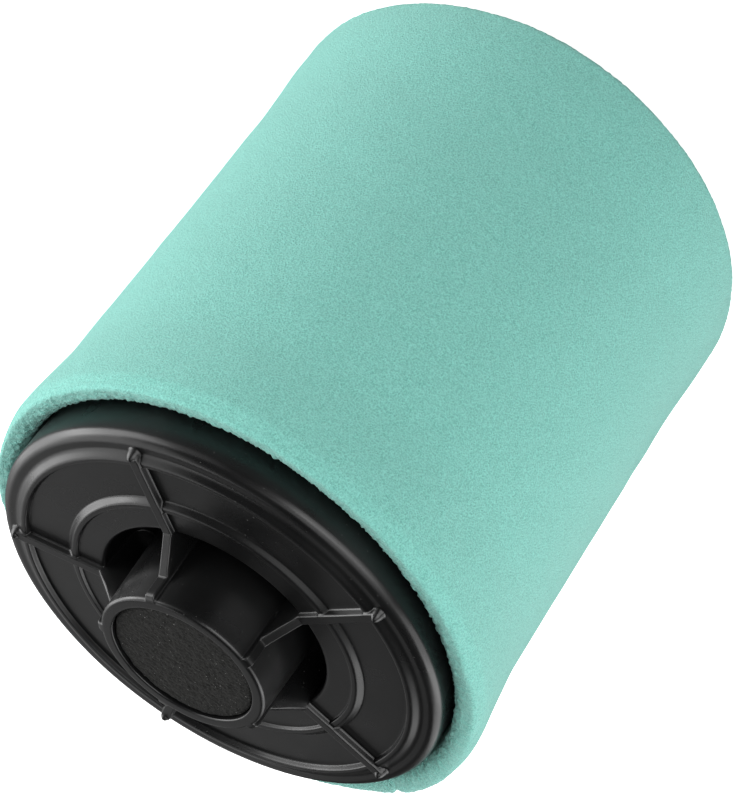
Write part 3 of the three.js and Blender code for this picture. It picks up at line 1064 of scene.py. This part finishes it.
@dataclass
class OpenEnd:
    """The moulded open cap, the rubber seal in its bore, and the potting in it."""

    workshop: Workshop
    rim_radius: float = 52.0
    bore_radius: float = 30.6
    collar_radius: float = 32.6
    collar_top: float = 10.0
    seal_radius: float = 29.0
    lip_radius: float = 27.8
    lip_heights: tuple[float, ...] = (8.2, 5.4, 2.6)

    def cap_corners(self) -> list[Corner]:
        """The open cap's section."""
        return [
            (self.bore_radius, 0.0, 0.5),
            (self.rim_radius, 0.0, 1.6),
            (51.6, 12.0, 0.4),
            (50.0, 12.0, 0.3),
            (50.0, 2.0, 0.8),
            (self.collar_radius, 2.0, 0.8),
            (self.collar_radius, self.collar_top, 0.4),
            (self.bore_radius, self.collar_top, 0.4),
        ]

    def seal_corners(self) -> list[Corner]:
        """The seal's section: a sleeve whose flange hooks over the collar, with three lips."""
        outer = self.bore_radius - 0.15
        lips: list[Corner] = []
        for height in self.lip_heights:
            lips += [
                (self.seal_radius, height + 0.9, 0.2),
                (self.lip_radius, height, 0.35),
                (self.seal_radius, height - 0.9, 0.2),
            ]
        return [
            (outer, 0.25, 0.3),
            (outer, self.collar_top + 0.2, 0.15),
            (self.collar_radius, self.collar_top + 0.2, 0.3),
            (self.collar_radius, 11.6, 0.6),
            (self.seal_radius, 11.6, 0.6),
            *lips,
            (self.seal_radius, 0.25, 0.3),
        ]

    def build(self) -> None:
        """Builds the pieces and hands them to the frame."""
        cap = turned_piece("open_end_moulding", self.cap_corners(), 192, 1.5)
        plastic = self.workshop.material(Slot.CAP_PLASTIC)
        settle(cap, Body.CARTRIDGE, Slot.CAP_PLASTIC, plastic, "open_end_cap")
        seal = turned_piece("seal_ring", self.seal_corners(), 160, 1.0, 4)
        rubber = self.workshop.material(Slot.SEAL_RUBBER)
        settle(seal, Body.CARTRIDGE, Slot.SEAL_RUBBER, rubber, "outlet_seal")
        redress("open_end_potting", self.workshop.material(Slot.POTTING))


# ---------------------------------------------------------------------------------------------
# Pre-cleaner
# ---------------------------------------------------------------------------------------------


@dataclass
class PreCleaner:
    """The foam sleeve: a strip of cut foam bent into a tube, with its ends glued together."""

    workshop: Workshop
    inner_radius: float = 52.35
    mouth_radius: float = 52.9
    outer_radius: float = 56.7
    bottom: float = 3.0
    top: float = 130.0
    seam_angle: float = -23.0
    flare: float = 1.4
    back_dip: float = 2.8
    notch_depth: float = 1.2
    notch_reach: float = 1.15
    glue_half_width: float = 0.22

    def lift(self, angle: Array, height: Array) -> Array:
        """How far a point moves up, so that the ends tilt and the cap's end dips at the back.

        Args:
            angle: Angle round the axis in radians.
            height: The point's height in the untilted sleeve.

        Returns:
            A cosine and sine of the angle at each end, blended by the height. The cap's end also
            falls by an S-curve of the angle away from the middle of the back.
        """
        level = (height - self.bottom) / (self.top - self.bottom)
        from_back = np.degrees(np.arccos(np.cos(angle - math.radians(-82.0))))
        top = 2.24 * np.cos(angle) - 1.87 * np.sin(angle)
        top = top - self.back_dip * smoothstep(82.0, 40.0, from_back)
        bottom = 1.66 * np.cos(angle) - 1.09 * np.sin(angle)
        return bottom + (top - bottom) * level

    def marks(self, length: float) -> Array:
        """Distances along a half of the section: close steps at both ends, wider ones between."""
        ends = np.concatenate([np.arange(0.15, 5.0, 0.32), np.arange(5.0, 14.0, 0.55)])
        middle = np.linspace(14.0, length - 14.0, 90)
        return np.concatenate([ends, middle, (length - ends)[::-1]])

    def section(self) -> Array:
        """The wall's section as two halves that pair off point by point, each bottom to top.

        Returns:
            Points, (count, 2): the outer half, then the inner half backwards.
        """
        middle = (self.inner_radius + self.outer_radius) / 2
        sides = ((self.outer_radius, 2.0, 0.9), (self.inner_radius, 0.9, 2.0))
        halves: list[Array] = []
        for radius, bottom_rounding, top_rounding in sides:
            corners = [
                (middle, self.bottom, 0.0),
                (radius, self.bottom, bottom_rounding),
                (radius, self.top, top_rounding),
                (middle, self.top, 0.0),
            ]
            line = rounded_outline(corners, 7)
            step = np.linalg.norm(np.diff(line, axis=0), axis=1)
            travelled = np.concatenate([[0.0], np.cumsum(step)])
            marks = self.marks(travelled[-1])
            halves.append(np.stack([np.interp(marks, travelled, line[:, axis]) for axis in (0, 1)], 1))
        return np.concatenate([halves[0], halves[1][::-1]])

    def sleeve_grid(self) -> Array:
        """The sleeve's whole surface.

        Rows go once round the axis, from one glued end of the strip to the other, closer together
        near the seam. Each column is a point of the wall's section. Heights are stretched between
        two tilted end planes. The outer side bulges just below the cap end, and swells slightly
        towards the far end. Beside the seam the outer side dips in a rounded notch. Noise makes
        the wall wavy, the cut edges uneven and the surface fuzzy.

        Returns:
            Points, (rows, columns, 3).
        """
        section = self.section()
        radius, height = section[:, 0][None, :], section[:, 1][None, :]
        arc = self.outer_radius * TURN
        near = np.concatenate([np.arange(0.0, 2.0, 0.16), np.arange(2.0, 6.0, 0.4)])
        spread = np.linspace(6.0, arc - 6.0, 1200)
        travelled = np.concatenate([near, spread, (arc - near)[::-1]])[:, None]
        share = self.glue_half_width / self.outer_radius
        angle = math.radians(self.seam_angle) + share + travelled / arc * (TURN - 2 * share)
        outside = smoothstep(self.inner_radius, self.outer_radius, radius)
        below_top = self.top - height
        loose = smoothstep(98.0, 76.0, np.degrees(np.arccos(np.cos(angle - math.radians(82.0)))))
        mouth = smoothstep(7.0, 0.0, below_top) * (self.mouth_radius - self.inner_radius) * loose
        rolled_in = 1.0 - 0.6 * smoothstep(4.0, 0.0, below_top)
        bulge = self.flare * smoothstep(26.0, 3.0, below_top) * rolled_in
        swell = 0.9 * smoothstep(30.0, 6.0, height - self.bottom)
        level = (height - self.bottom) / (self.top - self.bottom)
        swell = swell + level**2 * (0.3 + 0.5 * np.cos(angle))
        wall = radius + outside * (bulge + swell) + (1.0 - outside) * mouth
        from_seam = np.minimum(travelled, arc - travelled)
        wall = wall - outside * self.notch_depth * np.exp(-((from_seam / self.notch_reach) ** 2))
        slant = (1.0 - outside) * smoothstep(6.0, 0.0, below_top) * 0.45
        grid = spun(wall, height - slant + self.lift(angle, height), angle)
        wave = 0.22 * lattice_noise(grid, 19.0, 51) + 0.1 * lattice_noise(grid, 6.0, 52)
        near_cut = smoothstep(3.5, 1.2, np.minimum(below_top, height - self.bottom))
        ragged = near_cut * (1.0 - 0.75 * outside)
        fuzz = 0.4 * lattice_noise(grid, 0.6, 53) * ragged
        proud = wave * outside + fuzz
        lifted = 0.35 * lattice_noise(grid, 0.55, 56) * ragged
        grid = grid + spun(1.0, 0.0, angle) * proud[..., None]
        cut = smoothstep(1.2, 0.0, below_top) - smoothstep(1.2, 0.0, height - self.bottom)
        uneven = 0.28 * lattice_noise(grid, 11.0, 54) + 0.1 * lattice_noise(grid, 1.6, 55)
        grid[..., 2] += cut * uneven + lifted
        return grid

    def glue_grid(self) -> Array:
        """The glue between the strip's ends: a thin slab whose outer edge wanders in the notch.

        Returns:
            Points, (rows, columns, 3), each row a loop round the slab at one height.
        """
        height = np.linspace(self.bottom + 1.6, self.top - 1.2, 200)[:, None]
        middle = math.radians(self.seam_angle)
        places = np.concatenate([np.zeros((200, 2)), height], axis=1)
        wander = 0.18 * lattice_noise(places, 2.2, 61)[:, None]
        edge = self.outer_radius - self.notch_depth - 0.1 + wander
        share = np.linspace(0.0, 1.0, 8)
        foot = self.inner_radius + 0.8
        reach = foot + (edge - foot) * share
        round_off = np.clip(1.0 - np.maximum(share - 0.85, 0.0) ** 2 * 40.0, 0.05, 1.0)
        side = (self.glue_half_width - 0.02) * np.sqrt(round_off)
        along = np.concatenate([reach, reach[:, ::-1]], axis=1)
        across = np.broadcast_to(np.concatenate([-side, side[::-1]]), along.shape)
        lifted = height + self.lift(middle, height)
        x = along * math.cos(middle) - across * math.sin(middle)
        y = along * math.sin(middle) + across * math.cos(middle)
        return np.stack([x, y, np.broadcast_to(lifted, x.shape)], axis=-1)

    def build(self) -> None:
        """Builds the pieces and hands them to the frame."""
        sleeve = grid_piece("foam_pre_cleaner", self.sleeve_grid()[:, ::-1], Ends.STRIPS)
        foam = self.workshop.material(Slot.SLEEVE_FOAM)
        settle(sleeve, Body.PRE_CLEANER, Slot.SLEEVE_FOAM, foam, "foam_sleeve")
        glue = grid_piece("foam_seam_glue", self.glue_grid(), Ends.STRIPS)
        finish = self.workshop.material(Slot.FOAM_GLUE)
        settle(glue, Body.PRE_CLEANER, Slot.FOAM_GLUE, finish, "foam_sleeve_seam")


# ---------------------------------------------------------------------------------------------
# Studio
# ---------------------------------------------------------------------------------------------


@dataclass(frozen=True)
class Softbox:
    """A square area light that faces the cartridge. Its bearing is the angle round +Z from +X."""

    name: str
    bearing: float
    elevation: float
    distance: float
    size: float
    power: float


@dataclass
class Studio:
    """A pale floor, soft lights and the camera."""

    target: tuple[float, float, float] = (-0.787, 0.0, 68.27)
    distance: float = 596.31
    elevation: float = 33.594
    roll: float = 144.515
    lens: float = 133.84
    ambient: float = 0.06
    backdrop: float = 0.85
    floor_glow: float = 0.02
    floor_white: float = 0.9
    floor_bounce: Colour = (0.12, 0.12, 0.12)
    floor_drop: float = 0.0002
    boxes: tuple[Softbox, ...] = (
        Softbox("key_softbox", 180.0, 12.0, 0.8, 0.7, 6.2),
        Softbox("wide_softbox", 210.0, 12.0, 0.8, 0.7, 4.2),
        Softbox("left_softbox", 150.0, 12.0, 0.8, 0.7, 1.0),
        Softbox("fill_softbox", 0.0, 12.0, 0.8, 0.7, 3.2),
        Softbox("side_softbox", 332.0, 12.0, 0.8, 0.7, 2.5),
        Softbox("front_softbox", 68.0, 12.0, 0.8, 0.7, 4.0),
        Softbox("high_softbox", 65.0, 42.0, 0.8, 0.7, 2.2),
        Softbox("edge_softbox", 255.0, 12.0, 0.8, 0.7, 0.6),
        Softbox("rim_softbox", 220.0, 42.0, 0.8, 0.7, 2.4),
    )

    def build(self) -> None:
        """Builds the floor, the lights, the world and the camera."""
        self.floor()
        self.world()
        for box in self.boxes:
            self.light(box)
        self.camera()
        bpy.context.scene.view_settings.view_transform = "Standard"

    def floor(self) -> None:
        """A plain white floor just below the open end, kept clear of shadows by its own glow."""
        half, low = 4.0, -self.floor_drop
        corners = [(-half, -half, low), (half, -half, low), (half, half, low), (-half, half, low)]
        mesh = bpy.data.meshes.new("floor")
        mesh.from_pydata(corners, [], [(0, 1, 2, 3)])
        floor = bpy.data.objects.new("floor", mesh)
        bpy.context.scene.collection.objects.link(floor)
        material, wiring, shader, place = start_material("studio_floor", 0.9)
        soft = wiring.ramp(wiring.noise(place, 3.0), 0.3, 0.7)
        pale = wiring.mix(soft, (0.8, 0.8, 0.8), (0.82, 0.82, 0.82))
        shader.inputs["Emission Color"].default_value = (1.0, 1.0, 1.0, 1.0)
        seen = wiring.add("LightPath").outputs["Is Camera Ray"]
        wiring.feed(shader.inputs["Base Color"], wiring.mix(seen, self.floor_bounce, pale))
        glow = wiring.ramp(seen, 0.0, 1.0, self.floor_glow, self.floor_white)
        wiring.feed(shader.inputs["Emission Strength"], glow)
        mesh.materials.append(material)

    def world(self) -> None:
        """A pale backdrop that gives a little even light."""
        world = bpy.data.worlds.new("studio")
        world.use_nodes = True
        background = world.node_tree.nodes["Background"]
        background.inputs["Color"].default_value = (1.0, 1.0, 1.0, 1.0)
        wiring = Wiring(world.node_tree)
        seen = wiring.add("LightPath").outputs["Is Camera Ray"]
        wiring.feed(background.inputs["Strength"], wiring.ramp(seen, 0.0, 1.0, self.ambient, self.backdrop))
        bpy.context.scene.world = world

    def light(self, box: Softbox) -> None:
        """Adds one softbox."""
        lamp = bpy.data.lights.new(box.name, "AREA")
        lamp.size, lamp.energy = box.size, box.power
        bearing, elevation = math.radians(box.bearing), math.radians(box.elevation)
        flat = math.cos(elevation)
        away = Vector((math.cos(bearing) * flat, math.sin(bearing) * flat, math.sin(elevation)))
        piece = bpy.data.objects.new(box.name, lamp)
        piece.location = Vector(self.target) * MM + away * box.distance
        piece.rotation_mode = "QUATERNION"
        piece.rotation_quaternion = away.to_track_quat("Z", "Y")
        piece.visible_camera = False
        bpy.context.scene.collection.objects.link(piece)

    def camera(self) -> None:
        """Places the camera on the +Y side, rolled about its own line of sight."""
        data = bpy.data.cameras.new("camera")
        data.lens, data.sensor_width, data.sensor_fit = self.lens, 36.0, "HORIZONTAL"
        data.clip_start, data.clip_end = 0.01, 20.0
        rise, roll = math.radians(self.elevation), math.radians(self.roll)
        back = Vector((0.0, math.cos(rise), math.sin(rise)))
        level_up = Vector((0.0, -math.sin(rise), math.cos(rise)))
        up = level_up * math.cos(roll) - Vector((1.0, 0.0, 0.0)) * math.sin(roll)
        right = up.cross(back)
        place = Vector(self.target) * MM + back * self.distance * MM
        turn = Matrix((right, up, back)).transposed().to_4x4()
        camera = bpy.data.objects.new("camera", data)
        camera.matrix_world = Matrix.Translation(place) @ turn
        bpy.context.scene.collection.objects.link(camera)
        bpy.context.scene.camera = camera


def main() -> None:
    """Builds the sub-assemblies, then the studio."""
    workshop = Workshop()
    ClosedEnd(workshop).build()
    FilterElement(workshop).build()
    OpenEnd(workshop).build()
    PreCleaner(workshop).build()
    Studio().build()


if __name__ == "__main__":
    main()
